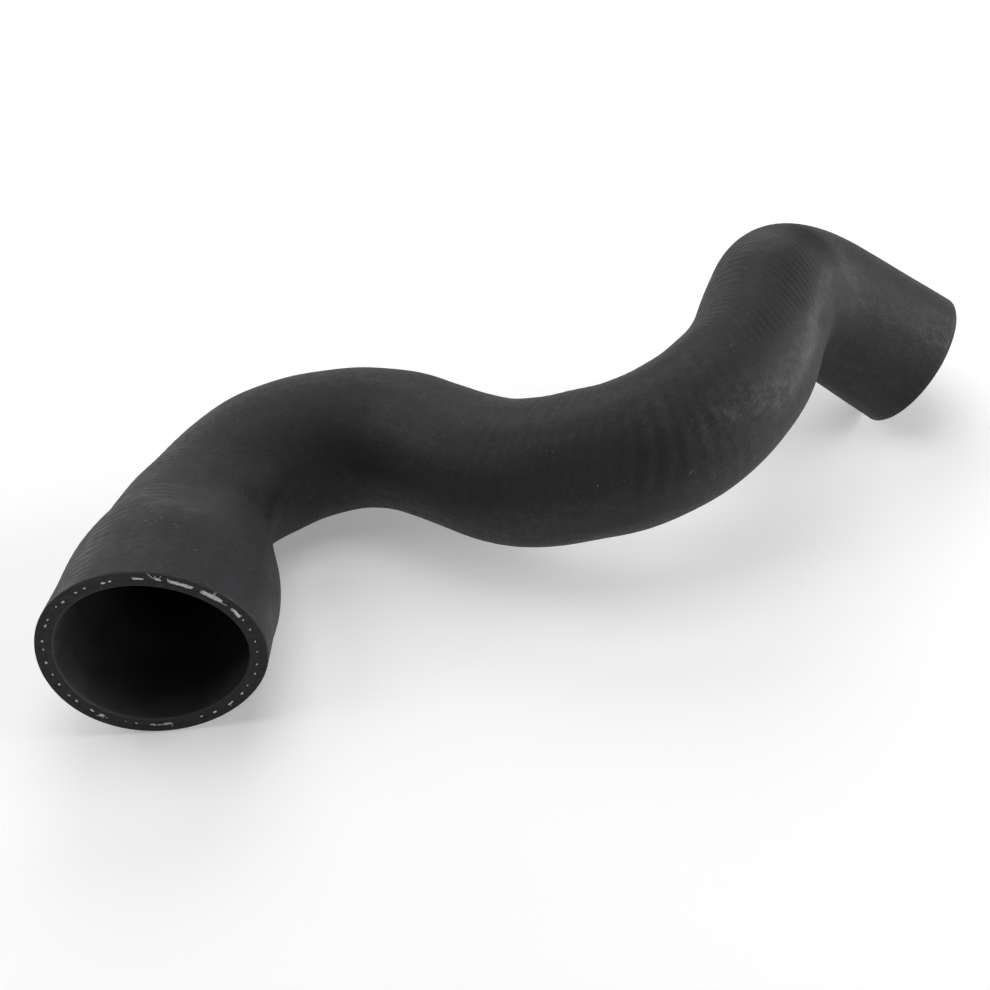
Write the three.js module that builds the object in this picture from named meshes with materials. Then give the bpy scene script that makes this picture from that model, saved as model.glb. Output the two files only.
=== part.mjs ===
// Charge air hose: a moulded rubber hose with a wide cuff at one end and a tight bend before the narrow end.
// It lies as it comes to rest, on the lower edges of both ends and on the underside of its first wide curve.
// Sizes are in millimetres, angles in degrees, +Z is up.
import * as THREE from "three";

// Length of the hose along its middle, from the wide mouth to the narrow end.
const LENGTH = 426.8;

// Outer diameters at the wide mouth, of the body and at the narrow end.
const CUFF_OUTER = 71;
const BODY_OUTER = 50;
const END_OUTER = 51;

// Wall thickness of the body, and how much thicker the cuff is at its mouth.
const WALL = 5;
const CUFF_EXTRA_WALL = 0.7;

// The wide mouth is cut out of square: how far its face leans, and towards which side of the hose.
const CUT_LEAN = 11.2;
const CUT_SIDE = 40;

// The wide mouth is pressed a little out of round, with three soft corners.
const PRESSED = 0.6;
const PRESSED_CORNERS = 3;

// The slant and the pressed shape fade out over this length of the cuff.
const CUFF_LENGTH = 55;

// How the hose lies: its heading at the wide mouth, anticlockwise from +X, and its rise there.
const HEADING = 79.2;
const RISE = -2.8;

// Bend table from the wide mouth on. Each row has the straight run before the bend, the bend's radius, how far
// the hose turns in it, and how far its plane is rolled from that of the bend before it. A last run follows.
const BENDS = [
  { straight: LENGTH * 0.0724, radius: LENGTH * 0.15, turn: 16.6, roll: -40.6 },
  { straight: LENGTH * 0.0181, radius: LENGTH * 0.1265, turn: 47.1, roll: -157.1 },
  { straight: 0, radius: LENGTH * 0.11, turn: 90.3, roll: 15 },
  { straight: LENGTH * 0.0671, radius: LENGTH * 0.136, turn: 30.5, roll: -159.2 },
  { straight: LENGTH * 0.0315, radius: LENGTH * 0.122, turn: 80.1, roll: -9.8 },
  { straight: LENGTH * 0.0137, radius: LENGTH * 0.1265, turn: 31.7, roll: -73.6 },
  { straight: 0, radius: BODY_OUTER * 0.54, turn: 66.8, roll: -57.3 },
];

// Outer diameter along the hose: the share of its length from the wide mouth, and the diameter there.
const GIRTH = [
  [0, CUFF_OUTER],
  [0.038, CUFF_OUTER * 0.977],
  [0.075, CUFF_OUTER * 0.96],
  [0.113, (CUFF_OUTER + BODY_OUTER) / 2],
  [0.15, BODY_OUTER * 1.072],
  [0.2, BODY_OUTER * 0.98],
  [0.28, BODY_OUTER * 1.04],
  [0.36, BODY_OUTER * 0.992],
  [0.44, BODY_OUTER * 0.96],
  [0.56, BODY_OUTER * 1.012],
  [0.68, BODY_OUTER * 0.98],
  [0.76, BODY_OUTER * 0.896],
  [0.84, BODY_OUTER * 0.916],
  [0.92, END_OUTER * 0.961],
  [1, END_OUTER],
];

// Facets round the hose, the longest step between its rings, and the most that it bends from one ring to the next.
const SIDES = 40;
const RING_STEP = 10;
const RING_TURN = 10;

const radians = THREE.MathUtils.degToRad;

// Points on the centreline with its direction there, from the wide mouth to the narrow end.
function centreline() {
  const lie = new THREE.Euler(0, radians(-RISE), radians(HEADING), "ZYX");
  const line = [{ at: new THREE.Vector3(), way: new THREE.Vector3(1, 0, 0).applyEuler(lie) }];
  let axis = new THREE.Vector3(0, 0, 1).applyEuler(lie);
  let left = LENGTH;
  BENDS.forEach(({ straight, radius, turn, roll }) => {
    line.push(...run(line.at(-1), straight));
    axis = axis.clone().applyAxisAngle(line.at(-1).way, radians(roll));
    line.push(...bend(line.at(-1), axis, radius, radians(turn)));
    left -= straight + radius * radians(turn);
  });
  return [...line, ...run(line.at(-1), left)];
}

// A straight run of a given length.
function run({ at, way }, length) {
  const steps = Math.ceil(length / RING_STEP);
  return Array.from({ length: steps }, (_, k) => ({
    at: at.clone().addScaledVector(way, (length * (k + 1)) / steps),
    way,
  }));
}

// A round bend that turns about an axis square to the hose.
function bend({ at, way }, axis, radius, turn) {
  const centre = at.clone().addScaledVector(axis.clone().cross(way), radius);
  const steps = Math.ceil(turn / radians(RING_TURN));
  return Array.from({ length: steps }, (_, k) => {
    const angle = (turn * (k + 1)) / steps;
    return {
      at: at.clone().sub(centre).applyAxisAngle(axis, angle).add(centre),
      way: way.clone().applyAxisAngle(axis, angle),
    };
  });
}

// Outer diameter at a share of the length: a smooth curve through the rows of the table.
function girthAt(share) {
  const last = GIRTH.length - 1;
  const slope = (i) => {
    const [a, b] = [GIRTH[Math.max(i - 1, 0)], GIRTH[Math.min(i + 1, last)]];
    return (b[1] - a[1]) / (b[0] - a[0]);
  };
  const i = Math.min(GIRTH.findLastIndex((row) => row[0] <= share), last - 1);
  const [low, high] = [GIRTH[i], GIRTH[i + 1]];
  const span = high[0] - low[0];
  const t = (share - low[0]) / span;
  return (
    low[1] * (1 + 2 * t) * (1 - t) ** 2 +
    high[1] * (3 - 2 * t) * t ** 2 +
    slope(i) * span * t * (1 - t) ** 2 -
    slope(i + 1) * span * (1 - t) * t ** 2
  );
}

// Rings along the centreline, each with two directions across the hose that don't twist from one ring to the next.
function rings() {
  const line = centreline();
  let across = new THREE.Vector3(0, 0, 1).cross(line[0].way).normalize();
  let distance = 0;
  const list = line.map(({ at, way }, i) => {
    if (i > 0) distance += at.distanceTo(line[i - 1].at);
    across = across.clone().addScaledVector(way, -across.dot(way)).normalize();
    return { at, way, across, up: way.clone().cross(across), distance };
  });
  return list.map((ring) => ({ ...ring, share: ring.distance / distance }));
}

// One point of a ring on the outside of the hose, or on its bore when bore is 1.
function skinPoint(ring, angle, bore) {
  const cuff = 1 - THREE.MathUtils.smoothstep(ring.distance, 0, CUFF_LENGTH);
  const wall = WALL + CUFF_EXTRA_WALL * cuff;
  const pressed = PRESSED * cuff * Math.cos(PRESSED_CORNERS * angle);
  const radius = girthAt(ring.share) / 2 - pressed - wall * bore;
  const lean = radius * cuff * Math.tan(radians(CUT_LEAN)) * Math.cos(angle - radians(CUT_SIDE));
  return ring.at.clone()
    .addScaledVector(ring.across, radius * Math.cos(angle))
    .addScaledVector(ring.up, radius * Math.sin(angle))
    .addScaledVector(ring.way, -lean);
}

// The closed skin: along the outside, across the narrow end's face, back through the bore, across the mouth's face.
function hoseGeometry() {
  const list = rings();
  const loop = [...list.map((ring) => [ring, 0]), ...list.toReversed().map((ring) => [ring, 1])];
  const points = loop.flatMap(([ring, bore]) =>
    Array.from({ length: SIDES }, (_, k) => skinPoint(ring, (2 * Math.PI * k) / SIDES, bore)),
  );
  const index = [];
  loop.forEach((_, i) => {
    const next = (i + 1) % loop.length;
    for (let k = 0; k < SIDES; k++) {
      const side = (k + 1) % SIDES;
      const [a, b] = [i * SIDES + k, i * SIDES + side];
      const [c, d] = [next * SIDES + k, next * SIDES + side];
      index.push(a, b, d, a, d, c);
    }
  });
  const geometry = new THREE.BufferGeometry().setFromPoints(points);
  geometry.setIndex(index);
  return geometry;
}

// Origin at the middle of the footprint, on the floor.
function centreOnFloor(geometry) {
  geometry.computeBoundingBox();
  const { min, max } = geometry.boundingBox;
  geometry.translate(-(min.x + max.x) / 2, -(min.y + max.y) / 2, -min.z);
}

function makeHose() {
  const geometry = hoseGeometry();
  centreOnFloor(geometry);
  geometry.computeVertexNormals();
  const rubber = new THREE.MeshStandardMaterial({ color: 0x26272a, roughness: 0.62, metalness: 0 });
  const hose = new THREE.Mesh(geometry, rubber);
  hose.name = "hose";
  return hose;
}

const root = new THREE.Group();
root.add(makeHose());
export default root;
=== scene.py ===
"""Looks of the charge air hose: ribbed rubber skin, cut mouths with thread ends, plain studio."""

import math
from functools import cached_property

import bpy
import numpy as np
from mathutils import Matrix, Vector


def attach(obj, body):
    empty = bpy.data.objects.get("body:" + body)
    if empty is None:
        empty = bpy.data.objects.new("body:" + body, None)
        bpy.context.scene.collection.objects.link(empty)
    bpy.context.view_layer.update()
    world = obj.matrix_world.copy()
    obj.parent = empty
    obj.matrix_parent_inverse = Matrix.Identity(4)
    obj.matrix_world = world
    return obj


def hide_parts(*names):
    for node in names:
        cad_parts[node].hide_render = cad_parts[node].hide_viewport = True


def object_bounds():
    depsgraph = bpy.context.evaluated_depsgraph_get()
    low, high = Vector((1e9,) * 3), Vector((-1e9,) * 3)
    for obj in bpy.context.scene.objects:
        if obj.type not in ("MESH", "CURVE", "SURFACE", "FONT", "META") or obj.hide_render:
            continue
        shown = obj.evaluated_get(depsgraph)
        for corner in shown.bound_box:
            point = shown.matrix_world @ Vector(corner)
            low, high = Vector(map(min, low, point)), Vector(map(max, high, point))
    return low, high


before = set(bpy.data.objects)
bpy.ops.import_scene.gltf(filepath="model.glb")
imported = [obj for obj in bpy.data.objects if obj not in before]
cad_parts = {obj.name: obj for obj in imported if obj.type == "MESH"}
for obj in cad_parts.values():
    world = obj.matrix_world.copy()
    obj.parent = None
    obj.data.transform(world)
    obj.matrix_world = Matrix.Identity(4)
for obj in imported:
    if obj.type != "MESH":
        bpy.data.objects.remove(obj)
cad_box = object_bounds()

# Sizes of the hose in millimetres and degrees, as in the CAD source.
LENGTH = 426.8
CUFF_OUTER, BODY_OUTER, END_OUTER = 71.0, 50.0, 51.0
WALL, CUFF_EXTRA_WALL = 5.0, 0.7
CUT_LEAN, CUT_SIDE = 11.2, 40.0
PRESSED, PRESSED_CORNERS = 0.6, 3
CUFF_LENGTH = 55.0
HEADING, RISE = 79.2, -2.8

# Straight run, bend radius, turn and roll of each bend.
BENDS = [
    (LENGTH * 0.0724, LENGTH * 0.15, 16.6, -40.6),
    (LENGTH * 0.0181, LENGTH * 0.1265, 47.1, -157.1),
    (0.0, LENGTH * 0.11, 90.3, 15.0),
    (LENGTH * 0.0671, LENGTH * 0.136, 30.5, -159.2),
    (LENGTH * 0.0315, LENGTH * 0.122, 80.1, -9.8),
    (LENGTH * 0.0137, LENGTH * 0.1265, 31.7, -73.6),
    (0.0, BODY_OUTER * 0.54, 66.8, -57.3),
]

# Share of the length and outer diameter there.
GIRTH = np.array([
    (0, CUFF_OUTER),
    (0.038, CUFF_OUTER * 0.977),
    (0.075, CUFF_OUTER * 0.96),
    (0.113, (CUFF_OUTER + BODY_OUTER) / 2),
    (0.15, BODY_OUTER * 1.072),
    (0.2, BODY_OUTER * 0.98),
    (0.28, BODY_OUTER * 1.04),
    (0.36, BODY_OUTER * 0.992),
    (0.44, BODY_OUTER * 0.96),
    (0.56, BODY_OUTER * 1.012),
    (0.68, BODY_OUTER * 0.98),
    (0.76, BODY_OUTER * 0.896),
    (0.84, BODY_OUTER * 0.916),
    (0.92, END_OUTER * 0.961),
    (1, END_OUTER),
])

# Points round the hose, and the step between its rings: from this place on, this step.
SIDES = 128
STEPS = [(0, 0.5), (104, 1.5), (205, 1.0), (290, 0.42), (376, 0.8), (414, 1.6)]

# The shortest gap before the outside's last rings, the bore's rings and how far they stay from the ends, and how far
# the cut edges are rounded, with the share of that at which an edge has one more ring.
LAST_GAP = 1.6
BORE_RINGS, BORE_INSET = 60, 1.5
EDGE, EDGE_SHARE = 0.3, 0.4

# Shares of the wall at which a cut face has rings, with how far each is sunk where the cloth layer ends.
FACE_RINGS = {0.03: 0, 0.12: 0, 0.3: 0, 0.44: 0.06, 0.5: 0.12, 0.56: 0.06, 0.7: 0, 0.88: 0, 0.97: 0}

# Fine ribs of the wrap on the cuff and, past RIBS_CHANGE, round the top bend, and the broad soft ridges of the body:
# pitch and depth in mm.
CUFF_RIBS, BEND_RIBS, RIDGES = (2.9, 0.36), (2.4, 0.55), (4.2, 0.5)
RIBS_CHANGE = 200

# The bend's ribs lean: they lie this far further along, from one angle round the hose to another. The ridges lean by
# this many mm to the radian. Then how far the ribs and the ridges stray from their even spacing.
RIB_LEAN, RIB_LEAN_FROM, RIB_LEAN_TO = 20, 94, 190
RIDGE_LEAN = 6
RIB_STRAY, RIDGE_STRAY = 0.4, 1.1

# Height of the skin's lumps, which are calmer on the narrow end's inner side: by this share, at an angle with half
# width and soft edge in degrees, from one distance to another.
LUMP_HEIGHT = 0.12
CALM, CALM_SIDE, CALM_PLACE = 0.8, (250, 50, 40), (340, 360)

# How far from both ends the grooves and the lumps are at their full depth, in mm.
GROOVES_FADE, LUMPS_FADE = 3, 20

# Soft swellings and hollows of the skin: distance, angle, half length, half width in degrees, height in mm.
SWELLS = [(50, 108, 26, 38, -3.4), (74, 165, 34, 48, 3.4)]

# The last bend is so tight that its inner side is moulded with a soft fillet: from, to and softness in mm, then its
# side of the hose: middle angle, half width and soft edge in degrees, then how fast it fades in, and its fine step.
FILLET = (316, 420, 8.0)
FILLET_SIDE = (240, 56, 60)
FILLET_FADE, FILLET_STEP = 14, 0.1

# The photograph's camera: its place in metres, its angles in degrees, its lens and sensor in mm and its clipping.
CAMERA_AT = (-0.01370, -0.59269, 0.48639)
CAMERA_PITCH, CAMERA_ROLL, CAMERA_HEADING = 38.121, -6.192, 0.178
CAMERA_LENS, CAMERA_SENSOR, CAMERA_CLIP = 80.0, 36, (0.05, 60)

# The rubber's colours, roughness and gloss.
RUBBER_DARK, RUBBER_PALE, RUBBER_BAND = (0.006, 0.0062, 0.0068), (0.0105, 0.0108, 0.0118), (0.018, 0.0185, 0.02)
RUBBER_GRAIN = (0.027, 0.0275, 0.029)
# The next two colours: painted shade for the grooves and the dark patches, and painted light for the pale patches.
RUBBER_PAINTED_SHADE, RUBBER_PAINTED_LIGHT = (0.0035, 0.0036, 0.004), (0.05, 0.0505, 0.052)
RUBBER_ROUGHNESS, MOTTLE_ROUGHNESS, DUST_ROUGHNESS = (0.54, 0.68), 0.75, 0.85
RUBBER_SPECULAR = 0.34
# The first is the dust's pale grey, also painted as a highlight on a few dusty places and used for the scratches.
DUST_AND_SHEEN_COLOR, SPECK = (0.125, 0.125, 0.122), (0.13, 0.13, 0.122)

# The rubber's spots: noise scale per metre, detail and roughness, then the noise at which they start and are full.
PATCHES, MOTTLE, GRAIN = (45, 5, 0.65, 0.42, 0.6), (330, 5, 0.7, 0.45, 0.62), (900, 4, 0.7, 0.5, 0.62)
# The first is the noise that breaks up the painted light of the pale patches.
PAINTED_LIGHT_SPOTS, POWDER, SPECKLED = (300, 5, 0.7, 0.3, 0.65), (230, 6, 0.72, 0.42, 0.66), (95, 1, 0.5, 0.58, 0.61)

# Its streaks along the hose: noise scale, how much it is drawn out, detail, then as above.
BANDS, RUBBED, SHEEN = (150, 0.09, 3, 0.45, 0.68), (900, 0.12, 4, 0.36, 0.66), (120, 0.15, 4, 0.3, 0.7)

# How strongly each of them shows.
# The third and fourth are painted shade: how strongly the shaded patches and the grooves are painted darker.
MOTTLE_SHARE, GRAIN_SHARE, PAINTED_SHADE_SHARE, GROOVE_SHADE_SHARE, SCRATCH_SHARE = 0.75, 0.55, 0.7, 0.6, 0.5
MOTTLE_GLOSS_SHARE = 0.8

# Its fine bumps: noise scale, detail and roughness, then strength and height in metres.
BUMPS = [(2600, 3, 0.5, 0.5, 0.0001), (1100, 4, 0.65, 0.6, 0.0002), (300, 5, 0.65, 0.5, 0.0005)]

# Stray specks: cells per metre, and the distance from a cell's middle at which a speck ends and is full.
SPECK_CELLS, SPECK_EDGE = 140.0, (0.036, 0.02)

# A mark's depth into the rubber in mm, and how soft the edge of a wide one is.
MARK_DEPTH, WIDE_MARK_SOFT = 4, 0.9

# The floor's two greys, roughness and half width in metres.
FLOOR_GREYS, FLOOR_ROUGHNESS, FLOOR_REACH = ((0.86, 0.86, 0.86), (0.88, 0.88, 0.88)), 0.9, 16

# How much the floor is lifted for camera, glossy and transmission rays, near the hose and far from it, where that
# rises and where it falls again; and the surround's strength for diffuse rays. The others see it as FLOOR_LIFT.
FLOOR_LIFT, FAR_LIFT, FAR_RISE, FAR_FALL = 0.28, 0.95, (0.62, 1.2), (15.0, 9.0)
SURROUND = 0.02

# The soft lamps, which all look at the hose from one distance: azimuth anticlockwise from +X, elevation, size in
# metres, brightness, colour.
LAMP_REACH, LAMP_AIM = 1.25, 0.04
LAMPS = [
    ("lamp_right", 0, 14, (0.9, 0.6), 7.6, (0.97, 0.98, 1)),
    ("lamp_front_right", 315, 14, (0.9, 0.6), 0.85, (1, 1, 1)),
    ("lamp_front_left", 225, 14, (0.9, 0.6), 0.3, (1, 1, 1)),
    ("lamp_back_left", 135, 14, (0.9, 0.6), 2.1, (1, 1, 1)),
    ("lamp_left", 180, 42, (0.9, 0.8), 1.7, (1, 1, 1)),
    ("lamp_back", 90, 42, (0.9, 0.8), 2.3, (1, 1, 1)),
    ("lamp_top", 0, 88, (0.9, 0.8), 2.1, (1, 1, 1)),
]


def turned(v, axis, angle):
    """v turned about a unit axis."""
    c, s = math.cos(angle), math.sin(angle)
    return v * c + np.cross(axis, v) * s + axis * (axis @ v) * (1 - c)


def segments():
    """The centreline's runs and bends: (from, to, start, way, axis, radius, across)."""
    h, r = math.radians(HEADING), math.radians(RISE)
    way = np.array([math.cos(r) * math.cos(h), math.cos(r) * math.sin(h), math.sin(r)])
    axis = np.array([-math.sin(r) * math.cos(h), -math.sin(r) * math.sin(h), math.cos(r)])
    across = np.cross((0, 0, 1.0), way)
    across /= np.linalg.norm(across)
    at, gone, found = np.zeros(3), 0.0, []
    for straight, radius, turn, roll in BENDS:
        found.append((gone, gone + straight, at, way, axis, 0.0, across))
        at, gone = at + way * straight, gone + straight
        axis = turned(axis, way, math.radians(roll))
        angle = math.radians(turn)
        found.append((gone, gone + radius * angle, at, way, axis, radius, across))
        centre = at + np.cross(axis, way) * radius
        at, gone = centre + turned(at - centre, axis, angle), gone + radius * angle
        way, across = turned(way, axis, angle), turned(across, axis, angle)
    found.append((gone, LENGTH, at, way, axis, 0.0, across))
    return found


def ring_at(parts, s):
    """Centre, way, across and up of the ring at distance s along the centreline."""
    low, _, at, way, axis, radius, across = next(
        p for p in parts if s <= p[1] + 1e-9 and p[1] > p[0]
    )
    if radius:
        angle = (s - low) / radius
        centre = at + np.cross(axis, way) * radius
        at = centre + turned(at - centre, axis, angle)
        way, across = turned(way, axis, angle), turned(across, axis, angle)
    else:
        at = at + way * (s - low)
    return at, way, across, np.cross(way, across)


def girth_at(share):
    """Outer diameter at a share of the length, smooth through the table's rows."""
    x, y = GIRTH[:, 0], GIRTH[:, 1]
    last = len(x) - 1
    before = np.maximum(np.arange(last + 1) - 1, 0)
    after = np.minimum(np.arange(last + 1) + 1, last)
    slope = (y[after] - y[before]) / (x[after] - x[before])
    i = np.clip(np.searchsorted(x, share, side="right") - 1, 0, last - 1)
    span = x[i + 1] - x[i]
    t = (share - x[i]) / span
    return (
        y[i] * (1 + 2 * t) * (1 - t) ** 2
        + y[i + 1] * (3 - 2 * t) * t**2
        + slope[i] * span * t * (1 - t) ** 2
        - slope[i + 1] * span * (1 - t) * t**2
    )


def smooth(x, low, high):
    """0 below low, 1 above high and a smooth step between them."""
    t = np.clip((x - low) / (high - low), 0, 1)
    return t * t * (3 - 2 * t)


def between(s, start, full, fading, end):
    """0 up to start, 1 from full to fading, 0 again from end on."""
    return smooth(s, start, full) * (1 - smooth(s, fading, end))


def ring_places():
    """Distances of the outside rings along the centreline."""
    places = [0.0, EDGE * EDGE_SHARE]
    while places[-1] < LENGTH - LAST_GAP:
        step = [size for start, size in STEPS if places[-1] >= start][-1]
        places.append(places[-1] + step)
    return np.array([*places[:-1], LENGTH - EDGE, LENGTH - EDGE * EDGE_SHARE, LENGTH])


def waves(seed, count, longest):
    """A smooth random field of distance and angle, made of a few waves, about -1 to 1."""
    rng = np.random.default_rng(seed)
    length = longest / rng.uniform(1, 4, count)
    rounds = rng.integers(-3, 4, count)
    phase = rng.uniform(0, 2 * math.pi, count)
    return lambda s, a: sum(
        np.sin(2 * math.pi * s / length[k] + rounds[k] * a + phase[k]) for k in range(count)
    ) / math.sqrt(count)


# Random fields, each with its own seed, number of waves and longest wave in mm.
rib_drift = waves(3, 7, 60)
rib_strength = waves(5, 8, 50)
ridge_drift = waves(8, 5, 90)
lumps = waves(11, 12, 70)


def beside(a, middle, half, soft):
    """1 within half degrees of a middle angle round the hose, falling to 0 over a soft edge."""
    off = np.abs((np.degrees(a) - middle + 180) % 360 - 180)
    return 1 - smooth(off, half, half + soft)


def rib_amount(s, a):
    """How deep the ribs are: down one side of the cuff, over its shoulder, round the top bend, faintly behind it."""
    turn = np.degrees(a)
    cuff = beside(a, 5, 50 + 14 * smooth(s, 24, 40), 22) * (1 - smooth(s, 82, 104))
    shoulder = 0.7 * beside(a, 86, 22, 26) * between(s, 34, 42, 54, 64)
    start, end = 298 + 24 * smooth(turn, 120, 165), 370 - 8 * smooth(turn, 140, 180)
    top = beside(a, 112, 74, 26) * between(s, start - 5, start + 9, end - 10, end + 8)
    top = top * (0.5 + 0.7 * smooth(turn, 100, 140))
    behind = 0.4 * beside(a, 163, 12, 12) * between(s, 366, 372, 398, 414)
    return np.maximum(np.maximum(cuff, shoulder), np.maximum(top, behind))


def grooves(s, a):
    """Depths of the grooves between the ribs, and of those between the broad ridges, from 0 to 1."""
    amount = rib_amount(s, a) * np.clip(0.8 + 0.3 * rib_strength(s, a), 0.25, 1.15)
    pitch = np.where(s < RIBS_CHANGE, CUFF_RIBS[0], BEND_RIBS[0])
    leaning = RIB_LEAN * np.clip((np.degrees(a) - RIB_LEAN_FROM) / (RIB_LEAN_TO - RIB_LEAN_FROM), 0, 1)
    turn = 2 * math.pi * (s + leaning + RIB_STRAY * rib_drift(s, a)) / pitch
    ribs = amount * (0.5 - 0.5 * np.cos(turn)) ** 1.3
    ridged = between(s, 238, 256, 276, 290) * beside(a, 146, 26, 22)
    faint = 0.35 * between(s, 200, 216, 284, 300) * beside(a, 140, 60, 40)
    amount = np.maximum(ridged, faint) * np.clip(0.8 + 0.4 * rib_strength(s, a), 0.1, 1.2)
    turn = 2 * math.pi * (s + RIDGE_LEAN * a + RIDGE_STRAY * ridge_drift(s, a)) / RIDGES[0]
    return ribs, amount * (0.5 - 0.5 * np.cos(turn))


def relief(s, a):
    """Height of the wrap's marks on the outside, in mm, at distance s and angle a."""
    grooved = between(s, 0, GROOVES_FADE, LENGTH - GROOVES_FADE, LENGTH)
    ribs, ridges = grooves(s, a)
    depth = np.where(s < RIBS_CHANGE, CUFF_RIBS[1], BEND_RIBS[1])
    calm = CALM * beside(a, *CALM_SIDE) * smooth(s, *CALM_PLACE)
    lumpy = between(s, 0, LUMPS_FADE, LENGTH - LUMPS_FADE, LENGTH) * (1 - calm)
    return LUMP_HEIGHT * lumpy * (lumps(s, a) - 1) - grooved * (depth * ribs + RIDGES[1] * ridges)


def swell(s, a):
    """Height of the soft swellings and hollows in mm."""
    return sum(
        height * (1 - smooth(np.abs(s - at), 0, long)) * beside(a, angle, 0, wide)
        for at, angle, long, wide, height in SWELLS
    )


def filleted(rings, places, a):
    """The rings with the inner side of the last bend softened along the hose."""
    start, end, softness = FILLET
    rows = np.flatnonzero((places > start) & (places < end))
    window = between(places[rows], start, start + FILLET_FADE, end - FILLET_FADE, end)
    shares = beside(a, *FILLET_SIDE)
    steps = np.arange(-3 * softness, 3 * softness, FILLET_STEP)
    bell = np.exp(-((steps / softness) ** 2) / 2)
    bell /= bell.sum()
    pad = len(bell)
    for k in np.flatnonzero(shares > 0):
        path = rings[rows, k]
        gone = np.append(0, np.cumsum(np.linalg.norm(np.diff(path, axis=0), axis=1)))
        even = np.arange(0, gone[-1], FILLET_STEP)
        line = np.stack([np.interp(even, gone, path[:, j]) for j in range(3)], -1)
        before = 2 * line[0] - line[pad:0:-1]
        after = 2 * line[-1] - line[-2:-pad - 2:-1]
        long = np.concatenate([before, line, after])
        soft = np.stack([np.convolve(long[:, j], bell, "same")[pad:-pad] for j in range(3)], -1)
        eased = np.stack([np.interp(gone, even, soft[:, j]) for j in range(3)], -1)
        share = (window * shares[k])[:, None]
        rings[rows, k] = path * (1 - share) + eased * share
    return rings


def skin(places, bore):
    """Rings of the outside, or of the bore when bore is 1. Each row of a ring is a point, and then its place on the
    hose pulled straight, whose third coordinate is the distance from the wide mouth."""
    parts = segments()
    rings = [ring_at(parts, s) for s in places]
    at, way, across, up = (np.array([r[k] for r in rings])[:, None, :] for k in range(4))
    s = places[:, None]
    a = (2 * math.pi * np.arange(SIDES) / SIDES)[None, :]
    cuff = 1 - smooth(s, 0, CUFF_LENGTH)
    wall = WALL + CUFF_EXTRA_WALL * cuff
    pressed = PRESSED * cuff * np.cos(PRESSED_CORNERS * a)
    radius = girth_at(s / LENGTH) / 2 - pressed - wall * bore
    lean = radius * cuff * math.tan(math.radians(CUT_LEAN)) * np.cos(a - math.radians(CUT_SIDE))
    rounding = EDGE * ((1 - smooth(s, 0, EDGE)) + (1 - smooth(LENGTH - s, 0, EDGE)))
    radius = radius + rounding if bore else radius - rounding + swell(s, a)
    x, y = radius * np.cos(a), radius * np.sin(a)
    points = at + across * x[..., None] + up * y[..., None] - way * lean[..., None]
    if not bore:
        out = across * np.cos(a)[..., None] + up * np.sin(a)[..., None]
        points = filleted(points, places, a[0])
        crowded = np.linalg.norm(np.gradient(points, axis=0), axis=-1) / np.gradient(places)[:, None]
        points = points + out * (relief(s, a) * np.minimum(crowded, 1))[..., None]
    return np.concatenate([points, np.stack([x, y, s + 0 * x], -1)], -1)


def cut_face(start, end, out):
    """Rings across a cut face, from one edge's ring to the other's, sunk a little where the cloth layer ends."""
    inward = -np.append(out, (0, 0, 0))
    return [start * (1 - t) + end * t + inward * depth for t, depth in FACE_RINGS.items()]


def hose_skin():
    """The closed loop of rings: points, faces, the kind of surface of each face (0 outside, 1 cut face, 2 bore),
    each point's place on the hose pulled straight, and how deep in a groove it lies."""
    places = ring_places()
    outside = skin(places, 0)
    ends = np.array([0, EDGE * EDGE_SHARE, EDGE])
    bore = np.linspace(BORE_INSET, LENGTH - BORE_INSET, BORE_RINGS)
    inside = skin(np.concatenate([ends, bore, LENGTH - ends[::-1]]), 1)[::-1]
    end = cut_face(outside[-1], inside[0], face_normal(outside[-1], outside[-2]))
    mouth = cut_face(inside[-1], outside[0], face_normal(outside[0], outside[1]))
    rings = np.concatenate([outside, end, inside, mouth])
    counts = [len(outside) - 1, len(end) + 1, len(inside) - 1, len(mouth) + 1]
    kinds = np.repeat([0, 1, 2, 1], np.array(counts) * SIDES)
    ring, side = np.meshgrid(np.arange(len(rings)), np.arange(SIDES), indexing="ij")
    after, aside = (ring + 1) % len(rings), (side + 1) % SIDES
    corners = [ring * SIDES + side, ring * SIDES + aside, after * SIDES + aside, after * SIDES + side]
    rows = rings.reshape(-1, 6)
    groove = np.zeros(len(rows))
    around = 2 * math.pi * np.arange(SIDES) / SIDES
    groove[:len(places) * SIDES] = np.clip(sum(grooves(places[:, None], around[None, :])), 0, 1).ravel()
    return rows[:, :3], np.stack(corners, -1).reshape(-1, 4), kinds, rows[:, 3:], groove


def face_normal(ring, inner):
    """The way that a cut face looks: square to its ring, away from the next ring of the hose."""
    points, middle = ring[:, :3], ring[:, :3].mean(0)
    normal = np.cross(points[0] - middle, points[SIDES // 4] - middle)
    normal /= np.linalg.norm(normal)
    return normal * np.sign(normal @ (middle - inner[:, :3].mean(0)))


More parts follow.
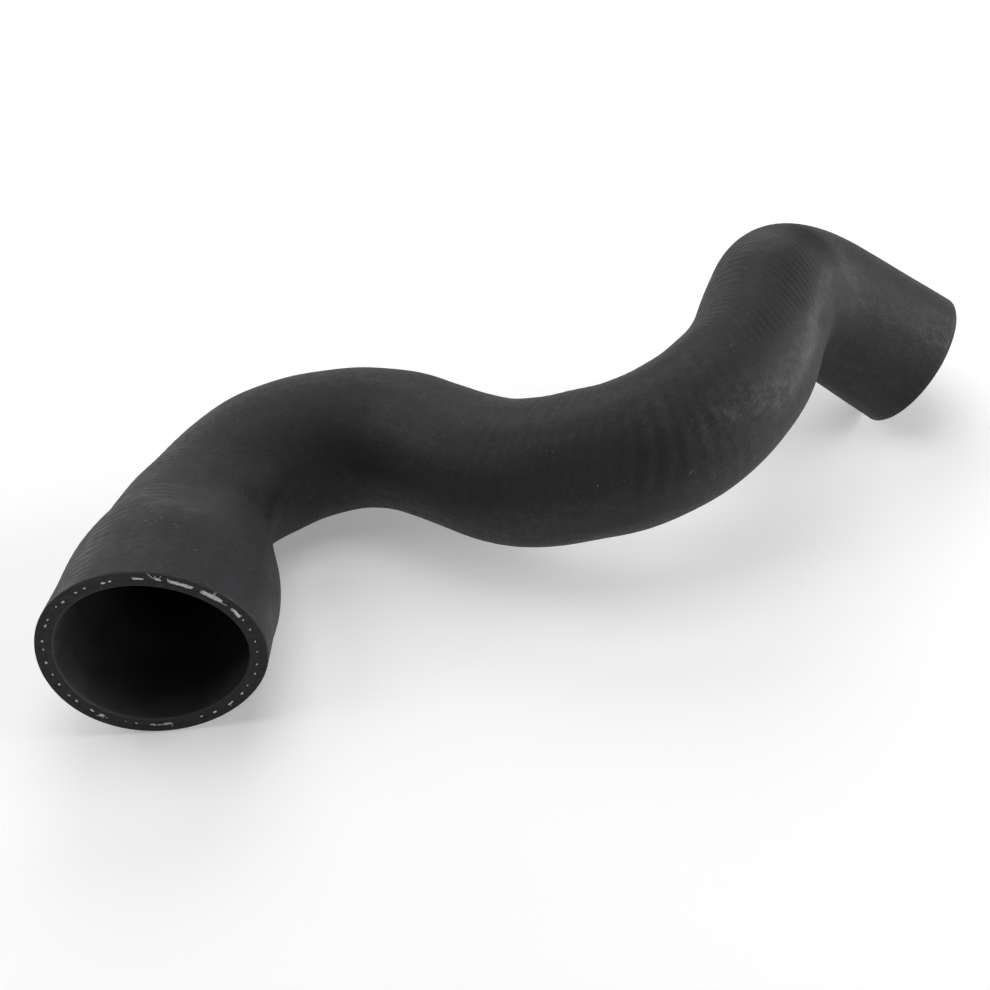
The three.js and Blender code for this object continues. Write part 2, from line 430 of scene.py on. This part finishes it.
# Cut ends of the cloth's threads in the wide mouth: angles of their two ends, share of the wall, thickness in mm.
THREADS = [
    (-0.8, 0.8, 0.51, 0.75), (10, 11.2, 0.49, 0.7), (16.2, 17.8, 0.46, 0.75), (28.2, 29.8, 0.46, 0.85),
    (33.5, 34.7, 0.45, 0.6), (44.7, 45.7, 0.43, 0.6), (50, 51.5, 0.49, 0.85), (59.6, 61.6, 0.48, 0.8),
    (65.3, 66.7, 0.49, 0.65), (75.3, 77.3, 0.51, 0.85), (79.5, 81.2, 0.52, 0.7), (92.2, 97.8, 0.46, 1.1),
    (104.2, 106.8, 0.38, 0.9), (111, 123.8, 0.38, 1.35), (129, 142.2, 0.42, 1.45), (148.3, 156.2, 0.46, 1.0),
    (158.6, 159.6, 0.5, 0.5), (166.5, 167.5, 0.54, 0.6), (176, 177, 0.59, 0.65), (184, 185, 0.6, 0.65),
    (194, 195, 0.61, 0.65), (201.5, 202.5, 0.56, 0.7), (212, 213, 0.56, 0.6), (219, 221, 0.53, 0.6),
    (229, 232.5, 0.5, 0.85), (241, 243.5, 0.52, 0.7), (250, 251.6, 0.6, 0.65), (270, 273.5, 0.62, 1.1),
    (278.5, 281, 0.62, 0.7), (288, 289.6, 0.64, 0.55), (294.5, 295.3, 0.66, 0.4), (307, 310, 0.55, 1.05),
    (313.5, 316, 0.6, 0.75), (325, 326.6, 0.58, 0.75), (331, 332.4, 0.57, 0.6), (341, 342.6, 0.56, 0.75),
    (349.5, 350.9, 0.54, 0.65),
]

# A thread this thick or thicker is a bundle: the thickness and spacing of its strands. Then the fibres' radius.
BUNDLE, STRAND, STRAND_SPACING, FIBRE = 0.8, 0.55, 0.34, 0.11

# Frayed ends: angle, share of the wall, and the number of loose fibres.
FRAYS = [
    (104.5, 0.34, 6), (111.5, 0.38, 4), (116, 0.36, 3), (131, 0.42, 4), (136, 0.4, 4), (141, 0.44, 4), (155, 0.5, 2),
    (230, 0.5, 4), (271, 0.6, 6), (276, 0.6, 4), (307, 0.56, 4),
]


def on_mouth(ring, angle, share, lift):
    """A point of the wide mouth's face at an angle and a share of the wall, lifted off the face in mm."""
    at, way, across, up = ring
    a = math.radians(angle)
    outer = CUFF_OUTER / 2 - PRESSED * math.cos(PRESSED_CORNERS * a)
    radius = outer - share * (WALL + CUFF_EXTRA_WALL)
    slant = math.tan(math.radians(CUT_LEAN))
    side = math.radians(CUT_SIDE)
    normal = way + slant * (across * math.cos(side) + up * math.sin(side))
    normal /= np.linalg.norm(normal)
    point = at + across * radius * math.cos(a) + up * radius * math.sin(a)
    return point - way * radius * slant * math.cos(a - side) - normal * lift


# A direction that no thread follows.
SKEW = (0.3, 0.2, 1.0)


def rod(path, radii, sides):
    """A closed round rod along a path: its points and faces."""
    path = np.array(path)
    way = np.gradient(path, axis=0)
    way /= np.linalg.norm(way, axis=1)[:, None]
    first = np.cross(way, SKEW)
    first /= np.linalg.norm(first, axis=1)[:, None]
    second = np.cross(way, first)
    a = 2 * math.pi * np.arange(sides) / sides
    circle = first[:, None] * np.cos(a)[:, None] + second[:, None] * np.sin(a)[:, None]
    points = path[:, None] + circle * np.array(radii)[:, None, None]
    faces = [
        (i * sides + k, i * sides + (k + 1) % sides, (i + 1) * sides + (k + 1) % sides, (i + 1) * sides + k)
        for i in range(len(path) - 1)
        for k in range(sides)
    ]
    faces += [tuple(range(sides))[::-1], tuple(range((len(path) - 1) * sides, len(path) * sides))]
    return points.reshape(-1, 3), faces


def strand(ring, rng, start, end, share, thick):
    """One lumpy strand that lies half sunk in the mouth's face."""
    count = 5 + int((end - start) * 1.3)
    turns = np.linspace(start, end, count)
    shares = share + np.cumsum(rng.normal(0, 0.01, count))
    taper = np.sin(np.linspace(0.3, math.pi - 0.3, count)) ** 0.45
    radii = thick / 2 * taper * rng.uniform(0.65, 1.2, count)
    path = [on_mouth(ring, t, w, -0.1) for t, w in zip(turns, shares)]
    return rod(path, radii, 8)


def fibre(ring, rng, middle, share):
    """One loose fibre that springs from a frayed end and arches over the face."""
    t = np.linspace(0, 1, 7)
    turn, lean = middle + rng.normal(0, 1.2), rng.normal(0, 2.0)
    reach, arch = rng.normal(-0.05, 0.11), 0.25 * rng.uniform(0.3, 1)
    bowed = share + rng.normal(0, 0.04) + reach * t + 0.03 * np.sin(5 * t)
    lift = 0.05 + arch * np.sin(t * math.pi)
    path = [on_mouth(ring, turn + lean * x, w, h) for x, w, h in zip(t, bowed, lift)]
    return rod(path, FIBRE * (1 - 0.6 * t), 6)


def thread_rods():
    """Every thread end of the wide mouth: dots, bundles of strands along the wall, and loose fibres."""
    rng = np.random.default_rng(21)
    ring = ring_at(segments(), 0)
    rods = []
    for start, end, share, thick in THREADS:
        strands = 1 if thick < BUNDLE else round(thick / STRAND_SPACING)
        wide = thick if strands == 1 else STRAND
        spread = (thick - wide) / (WALL + CUFF_EXTRA_WALL)
        for k in range(strands):
            off = spread * (k / max(strands - 1, 1) - 0.5)
            ragged = rng.uniform(-0.7, 0.7, 2) * (strands > 1)
            rods.append(strand(ring, rng, start + ragged[0], end + ragged[1], share + off, wide))
    for middle, share, fibres in FRAYS:
        rods += [fibre(ring, rng, middle, share) for _ in range(fibres)]
    return rods


def joined(parts):
    """Several bodies as one: their points and faces."""
    points, faces, start = [], [], 0
    for part_points, part_faces in parts:
        points.append(part_points)
        faces += [tuple(start + k for k in face) for face in part_faces]
        start += len(part_points)
    return np.concatenate(points), faces


def fitted(points, low, high):
    """Points moved into the CAD box, in metres: the fine skin bulges a little more than the CAD's facets."""
    box_low, box_high = (np.array(corner) for corner in cad_box)
    return box_low + (points - low) / (high - low) * (box_high - box_low)


def add_piece(name, points, faces, materials, kinds, straight=None, groove=None):
    """A smooth mesh at the origin, whose faces take the material of their kind. Points are in metres; the places on
    the hose pulled straight are in mm and kept in metres."""
    mesh = bpy.data.meshes.new(name)
    mesh.from_pydata(points.tolist(), [], [list(map(int, face)) for face in faces])
    for material in materials:
        mesh.materials.append(material)
    mesh.polygons.foreach_set("material_index", np.array(kinds, np.int32))
    mesh.polygons.foreach_set("use_smooth", np.ones(len(faces), bool))
    if straight is not None:
        places = mesh.attributes.new("straight", "FLOAT_VECTOR", "POINT")
        places.data.foreach_set("vector", (straight / 1000).ravel())
        depths = mesh.attributes.new("groove", "FLOAT", "POINT")
        depths.data.foreach_set("value", groove)
    mesh.update()
    piece = bpy.data.objects.new(name, mesh)
    bpy.context.scene.collection.objects.link(piece)
    return piece


class Tree:
    """A node tree and its shader, with short ways to add and join nodes."""

    def __init__(self, tree, shader):
        self.tree, self.shader = tree, shader

    def node(self, kind, values=(), **settings):
        made = self.tree.nodes.new(kind)
        for key, value in settings.items():
            setattr(made, key, value)
        for key, value in dict(values).items():
            self.put(made.inputs[key], value)
        return made

    def put(self, socket, value):
        """Links a socket to another one, or sets its value."""
        if isinstance(value, bpy.types.NodeSocket):
            self.tree.links.new(value, socket)
        else:
            socket.default_value = value

    def into(self, key, value):
        self.put(self.shader.inputs[key], value)

    def ramp(self, value, low, high, to_low=0.0, to_high=1.0):
        values = {"Value": value, "From Min": low, "From Max": high, "To Min": to_low, "To Max": to_high}
        return self.node("ShaderNodeMapRange", values).outputs["Result"]

    def times(self, a, b):
        return self.node("ShaderNodeMath", {0: a, 1: b}, operation="MULTIPLY").outputs[0]

    def most(self, values):
        """The largest of several values."""
        found = values[0]
        for value in values[1:]:
            found = self.node("ShaderNodeMath", {0: found, 1: value}, operation="MAXIMUM").outputs[0]
        return found

    def mix_value(self, factor, a, b):
        return self.node("ShaderNodeMix", {"Factor": factor, 2: a, 3: b}, data_type="FLOAT").outputs["Result"]

    def mix(self, factor, a, b):
        """A mix of two colours, each a socket or three numbers."""
        made = self.node("ShaderNodeMix", {"Factor": factor}, data_type="RGBA")
        for socket, value in ((made.inputs[6], a), (made.inputs[7], b)):
            self.put(socket, (*value, 1) if isinstance(value, tuple) else value)
        return made.outputs[2]


class Nodes(Tree):
    """A material's node tree, with its noise, marks and bumps."""

    def __init__(self, name, color):
        self.material = bpy.data.materials.new(name)
        self.material.use_nodes = True
        self.material.diffuse_color = (*color, 1)
        tree = self.material.node_tree
        super().__init__(tree, tree.nodes["Principled BSDF"])
        self.place = self.node("ShaderNodeTexCoord").outputs["Object"]

    @cached_property
    def straight(self):
        """The place on the hose pulled straight, in metres."""
        return self.node("ShaderNodeAttribute", attribute_name="straight").outputs["Vector"]

    @cached_property
    def groove(self):
        """How deep in a groove a place lies, from 0 to 1."""
        return self.node("ShaderNodeAttribute", attribute_name="groove").outputs["Fac"]

    def noise(self, scale, detail, roughness=0.5, place=None):
        values = {"Vector": place or self.place, "Scale": scale, "Detail": detail, "Roughness": roughness}
        return self.node("ShaderNodeTexNoise", values).outputs["Fac"]

    def spots(self, scale, detail, roughness, start, full, low=0.0, high=1.0):
        """Noise drawn apart: low up to start, high from full on."""
        return self.ramp(self.noise(scale, detail, roughness), start, full, low, high)

    def streaks(self, scale, along, detail, start, full, low=0.0, high=1.0):
        """The same on the hose pulled straight, drawn out along it."""
        values = {0: self.straight, 1: (1, 1, along)}
        drawn = self.node("ShaderNodeVectorMath", values, operation="MULTIPLY").outputs["Vector"]
        return self.ramp(self.noise(scale, detail, place=drawn), start, full, low, high)

    def mark(self, s, angle, size, tilt, soft=0.5):
        """1 inside an oval on the outside of the hose at distance s and an angle, falling to 0 at its edge. size is
        its half width round the hose and half length along it, in mm; tilt turns it."""
        r, a = girth_at(s / LENGTH) / 2000, math.radians(angle)
        values = {
            "Vector": self.straight,
            "Location": (r * math.cos(a), r * math.sin(a), s / 1000),
            "Rotation": (math.radians(tilt), 0, a),
            "Scale": (MARK_DEPTH / 1000, size[0] / 1000, size[1] / 1000),
        }
        local = self.node("ShaderNodeMapping", values, vector_type="TEXTURE").outputs["Vector"]
        off = self.node("ShaderNodeVectorMath", {0: local}, operation="LENGTH").outputs["Value"]
        return self.ramp(off, 1, 1 - soft)

    def marks(self, kind):
        """The strongest of the wide soft marks of one kind."""
        return self.most([
            self.times(self.mark(s, angle, size, tilt, WIDE_MARK_SOFT), strength)
            for s, angle, size, tilt, strength in kind
        ])

    def bumps(self, layers):
        """Bumps on the normal, one on the other: noise scale, detail and roughness, strength, height in metres."""
        before = {}
        for scale, detail, roughness, strength, distance in layers:
            values = {"Height": self.noise(scale, detail, roughness), "Strength": strength, "Distance": distance}
            before = {"Normal": self.node("ShaderNodeBump", values | before).outputs["Normal"]}
        self.into("Normal", before["Normal"])


# Dusty places on the outside; the small ones near 345 to 352 mm and at 11 mm are painted light, a painted highlight
# in the dust's grey: distance, angle, half width and half length in mm, tilt, strength.
DUST_AND_LIGHT_MARKS = [
    (300, 174, (11, 14), 0, 1.0), (300, 181, (5, 14), 0, 0.9), (310, 176, (4, 14), 0, 0.9),
    (322, 172, (3.5, 12), 0, 0.8), (334, 169, (3.5, 10), 0, 0.6), (346, 170, (3.5, 9), 0, 0.4),
    (287, 158, (16, 15), 0, 0.5), (272, 128, (9, 10), 0, 0.4), (280, 200, (9, 26), 0, 0.3),
    (352, 100, (6, 3), 0, 0.5), (245, 180, (8, 40), 0, 0.2), (345, 103, (10, 8), 0, 0.4),
    (11, 56, (5, 14), 0, 0.22),
]

# The same for painted shade: places painted darker where shade falls on the rubber, such as the dark band along the
# arch and body.
PAINTED_SHADE_MARKS = [
    (150, 150, (30, 48), 0, 0.8), (228, 158, (22, 24), 0, 0.5), (20, 150, (14, 20), 0, 0.5),
    (62, 146, (6, 26), 0, 1.0), (140, 105, (24, 60), 0, 0.7), (222, 118, (14, 40), 0, 0.6),
    (20, 104, (16, 16), 0, 0.6),
]
# And for painted light: places painted paler where light falls brighter, such as the floor's bounce on the
# undersides and the sheen at the cuff's left edge.
PAINTED_LIGHT_MARKS = [
    (18, 58, (9, 28), 0, 1.0), (50, 64, (8, 22), 0, 0.8), (350, 104, (18, 13), 0, 1.0),
    (404, 190, (20, 18), 0, 0.25), (404, 232, (16, 24), 0, 0.7), (402, 254, (18, 26), 0, 0.9),
    (92, 184, (9, 12), 0, 0.9), (104, 196, (9, 14), 0, 0.7), (318, 82, (9, 18), 0, 0.6),
    (41, 78, (13, 3), 6, 0.9), (37, 98, (12, 3), 10, 0.9), (34, 110, (8, 2.2), 10, 0.8),
    (12, 175, (9, 12), 0, 0.6), (30, 165, (7, 12), 0, 0.5), (326, 173, (3.5, 14), 0, 0.9),
    (312, 180, (4, 12), 0, 1.0), (344, 172, (3, 10), 0, 0.6),
]

# White specks and fine scratches: distance, angle, half width and half length in mm, tilt.
SPECKS = [
    (26, 88, (0.25, 0.4), 20), (24.5, 91, (0.22, 0.22), 0), (26, 93, (0.25, 0.3), 0), (27.5, 95, (0.2, 0.45), 40),
    (25, 103, (0.2, 0.3), 0), (24.2, 105, (0.3, 0.25), 0), (15.2, 118, (0.35, 0.3), 0), (15.5, 114.5, (0.2, 0.2), 0),
    (20.3, 150, (0.4, 0.3), 30), (239, 130, (0.25, 0.25), 0), (241, 132, (0.28, 0.25), 0), (233, 124, (0.2, 0.2), 0),
    (252, 163, (0.6, 0.2), 0), (258, 165, (0.2, 0.2), 0), (272, 180, (0.14, 1.2), 30), (349, 126, (0.3, 0.25), 0),
]
SCRATCHES = [(66, 141, (0.2, 5), 8), (57, 144, (0.18, 4.5), 4), (300, 120, (0.14, 2), 5)]


def rubber_outside():
    """The rubber's skin: mottled, streaked along the hose, dusty in places, with painted shade in its grooves and
    dark patches, painted light in pale patches and on a few dusty places, and specks and scratches.
    """
    n = Nodes("rubber_skin", (0.02, 0.021, 0.024))
    # Masks of the dusty places, a few of them painted light; of the painted shade; and of the painted light.
    dust_and_light, painted_shade, painted_light = (n.marks(kind) for kind in (DUST_AND_LIGHT_MARKS, PAINTED_SHADE_MARKS, PAINTED_LIGHT_MARKS))
    mottle = n.spots(*MOTTLE)
    color = n.mix(n.spots(*PATCHES), RUBBER_DARK, RUBBER_PALE)
    color = n.mix(n.streaks(*BANDS, 0, 0.5), color, RUBBER_BAND)
    color = n.mix(n.times(mottle, MOTTLE_SHARE), color, RUBBER_BAND)
    color = n.mix(n.times(n.spots(*GRAIN), GRAIN_SHARE), color, RUBBER_GRAIN)
    # Painted shade: patches painted darker where shade falls on the rubber.
    color = n.mix(n.times(painted_shade, PAINTED_SHADE_SHARE), color, RUBBER_PAINTED_SHADE)
    # Painted light: pale patches painted where light falls brighter.
    color = n.mix(n.times(painted_light, n.spots(*PAINTED_LIGHT_SPOTS, 0.3, 0.9)), color, RUBBER_PAINTED_LIGHT)
    # Painted shade: the grooves between the ribs and ridges are painted darker, as if shade lay in them.
    color = n.mix(n.times(n.groove, GROOVE_SHADE_SHARE), color, RUBBER_PAINTED_SHADE)
    # Dust, which on a few places is painted light in the dust's grey.
    dust_and_sheen = n.times(dust_and_light, n.times(n.spots(*POWDER), n.streaks(*RUBBED, 0.45, 1)))
    color = n.mix(dust_and_sheen, color, DUST_AND_SHEEN_COLOR)
    cells = n.node("ShaderNodeTexVoronoi", {"Vector": n.place, "Scale": SPECK_CELLS}).outputs["Distance"]
    stray = n.times(n.ramp(cells, *SPECK_EDGE), n.spots(*SPECKLED))
    specks = n.most([stray, *(n.mark(*speck) for speck in SPECKS)])
    scratches = n.most([n.mark(*scratch) for scratch in SCRATCHES])
    n.into("Base Color", n.mix(n.times(scratches, SCRATCH_SHARE), n.mix(specks, color, SPECK), DUST_AND_SHEEN_COLOR))
    rough = n.streaks(*SHEEN, *RUBBER_ROUGHNESS)
    rough = n.mix_value(n.times(mottle, MOTTLE_GLOSS_SHARE), rough, MOTTLE_ROUGHNESS)
    n.into("Roughness", n.mix_value(dust_and_sheen, rough, DUST_ROUGHNESS))
    n.into("Specular IOR Level", RUBBER_SPECULAR)
    n.bumps(BUMPS)
    return n.material


def mottled(name, seen, colors, spots, rough, bump):
    """A plainer material: its name, its colour in the viewport, two colours and the spots that mix them, its
    roughness as spots or as one number, and one fine bump."""
    n = Nodes(name, seen)
    n.into("Base Color", n.mix(n.spots(*spots), *colors))
    n.into("Roughness", rough if isinstance(rough, float) else n.spots(*rough))
    n.bumps([bump])
    return n


def rubber_cut():
    """The cut faces: matter than the skin."""
    colors = (0.008, 0.0082, 0.0088), (0.018, 0.0182, 0.019)
    spots, rough = (500, 4, 0.5, 0.35, 0.7), (900, 3, 0.5, 0.3, 0.7, 0.68, 0.82)
    n = mottled("rubber_cut", (0.03, 0.031, 0.033), colors, spots, rough, (1500, 4, 0.5, 0.4, 0.00012))
    n.into("Specular IOR Level", RUBBER_SPECULAR)
    return n.material


def rubber_bore():
    """The bore: greyer and smoother."""
    colors = (0.026, 0.0262, 0.027), (0.042, 0.042, 0.0425)
    spots, rough = (60, 4, 0.5, 0.35, 0.7), (120, 3, 0.5, 0.3, 0.7, 0.55, 0.7)
    return mottled("rubber_bore", (0.03, 0.03, 0.03), colors, spots, rough, (900, 3, 0.5, 0.3, 0.0001)).material


def thread_white():
    """The cut threads: dull off-white."""
    colors = (0.85, 0.84, 0.79), (0.6, 0.59, 0.54)
    spots, bump = (1800, 2, 0.5, 0.3, 0.7), (4000, 2, 0.5, 0.5, 0.00005)
    return mottled("thread", (0.7, 0.7, 0.66), colors, spots, 0.85, bump).material


def seen_rays(n):
    """1 for camera, glossy and transmission rays, 0 for the diffuse rays that light the hose."""
    rays = n.node("ShaderNodeLightPath").outputs
    return n.most([rays["Is Camera Ray"], rays["Is Glossy Ray"], rays["Is Transmission Ray"]])


def studio():
    """A pale floor, the surround and the soft lamps."""
    corners = [(x * FLOOR_REACH, y * FLOOR_REACH, 0) for x, y in ((-1, -1), (1, -1), (1, 1), (-1, 1))]
    floor = bpy.data.meshes.new("floor")
    floor.from_pydata(corners, [], [(0, 1, 2, 3)])
    piece = bpy.data.objects.new("floor", floor)
    bpy.context.scene.collection.objects.link(piece)
    n = Nodes("floor", (0.9, 0.9, 0.9))
    n.into("Base Color", n.mix(n.noise(3, 2), *FLOOR_GREYS))
    n.into("Roughness", FLOOR_ROUGHNESS)
    n.into("Emission Color", (1, 1, 1, 1))
    away = n.node("ShaderNodeVectorMath", {0: n.place}, operation="LENGTH").outputs["Value"]
    far = n.times(n.ramp(away, *FAR_RISE), n.ramp(away, *FAR_FALL))
    n.into("Emission Strength", n.times(seen_rays(n), n.ramp(far, 0, 1, FLOOR_LIFT, FAR_LIFT)))
    floor.materials.append(n.material)

    world = bpy.data.worlds.new("surround")
    bpy.context.scene.world = world
    world.use_nodes = True
    n = Tree(world.node_tree, world.node_tree.nodes["Background"])
    n.into("Color", (1, 1, 1, 1))
    n.into("Strength", n.ramp(seen_rays(n), 0, 1, SURROUND, FLOOR_LIFT))

    for name, azimuth, elevation, size, brightness, color in LAMPS:
        a, e = math.radians(azimuth), math.radians(elevation)
        away = Vector((math.cos(a) * math.cos(e), math.sin(a) * math.cos(e), math.sin(e)))
        lamp = bpy.data.lights.new(name, "AREA")
        lamp.shape = "RECTANGLE"
        lamp.size, lamp.size_y = size
        lamp.energy = brightness * math.pi * size[0] * size[1]
        lamp.color = color
        place = bpy.data.objects.new(name, lamp)
        place.location = away * LAMP_REACH + Vector((0, 0, LAMP_AIM))
        place.rotation_euler = (-away).to_track_quat("-Z", "Y").to_euler()
        bpy.context.scene.collection.objects.link(place)


def camera():
    """The photograph's view: looking down by CAMERA_PITCH and rolled by CAMERA_ROLL."""
    e, a, h = (math.radians(v) for v in (CAMERA_PITCH, CAMERA_ROLL, CAMERA_HEADING))
    ahead = Vector((math.sin(h) * math.cos(e), math.cos(h) * math.cos(e), -math.sin(e)))
    right = Vector((math.cos(h), -math.sin(h), 0))
    up = right.cross(ahead)
    across = right * math.cos(a) + up * math.sin(a)
    above = up * math.cos(a) - right * math.sin(a)
    data = bpy.data.cameras.new("camera")
    data.lens, data.sensor_width = CAMERA_LENS, CAMERA_SENSOR
    data.clip_start, data.clip_end = CAMERA_CLIP
    view = bpy.data.objects.new("camera", data)
    view.matrix_world = Matrix((
        (across.x, above.x, -ahead.x, CAMERA_AT[0]),
        (across.y, above.y, -ahead.y, CAMERA_AT[1]),
        (across.z, above.z, -ahead.z, CAMERA_AT[2]),
        (0, 0, 0, 1),
    ))
    bpy.context.scene.collection.objects.link(view)
    bpy.context.scene.camera = view


def main():
    points, faces, kinds, straight, groove = hose_skin()
    low, high = points.min(0), points.max(0)
    thread_points, thread_faces = joined(thread_rods())
    low, high = np.minimum(low, thread_points.min(0)), np.maximum(high, thread_points.max(0))
    rubber = [rubber_outside(), rubber_cut(), rubber_bore()]
    hose = add_piece("hose_skin", fitted(points, low, high), faces, rubber, kinds, straight, groove)
    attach(hose, "root")
    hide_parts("hose")
    plain = [0] * len(thread_faces)
    threads = add_piece("thread_ends", fitted(thread_points, low, high), thread_faces, [thread_white()], plain)
    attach(threads, "root")
    studio()
    camera()
    bpy.context.scene.view_settings.view_transform = "Standard"


main()
